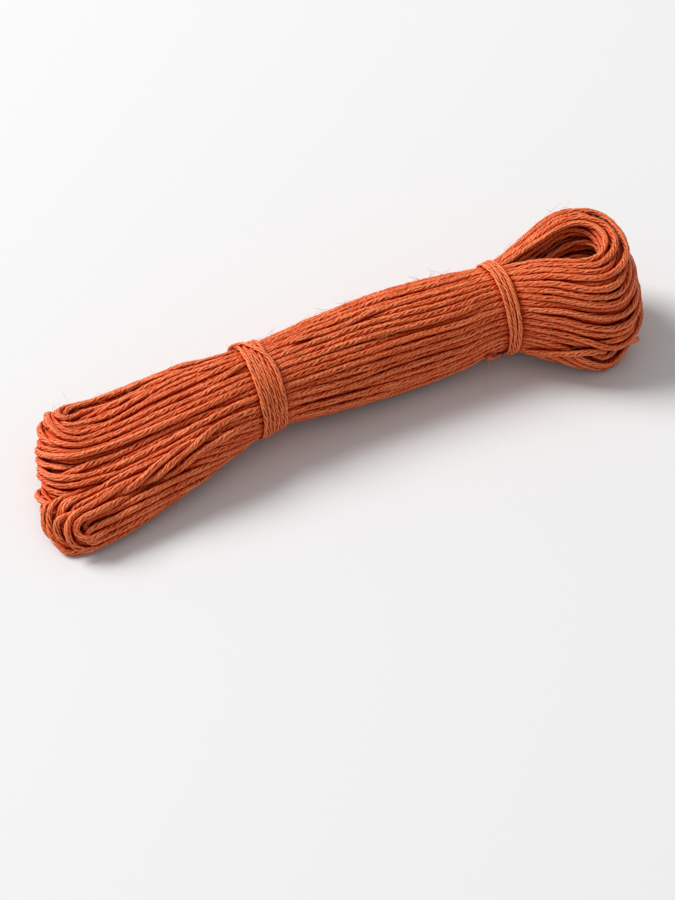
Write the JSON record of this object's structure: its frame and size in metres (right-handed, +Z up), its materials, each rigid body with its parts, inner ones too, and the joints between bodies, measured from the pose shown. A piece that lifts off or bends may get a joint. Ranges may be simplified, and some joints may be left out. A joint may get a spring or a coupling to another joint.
{
  "type": "hank of embroidery floss",
  "caption": "Hank of twisted embroidery floss wound in a flattened ring, tied at two necks, fanned flat at one end and open in a loop at the other.",
  "frame": {"origin": "centre of the bounding box, on the surface the hank lies on", "axes": "+X along the hank from the fan of turns to the open loop, +Y to its far side, +Z up"},
  "size_m": [0.1106, 0.03, 0.0203],
  "materials": {
    "floss": "matte twisted cotton, burnt orange",
    "tie_floss": "matte to silky thin thread, lighter orange"
  },
  "bodies": {
    "root": {"hank": "floss", "tie_left": "tie_floss", "tie_right": "tie_floss"}
  },
  "joints": []
}
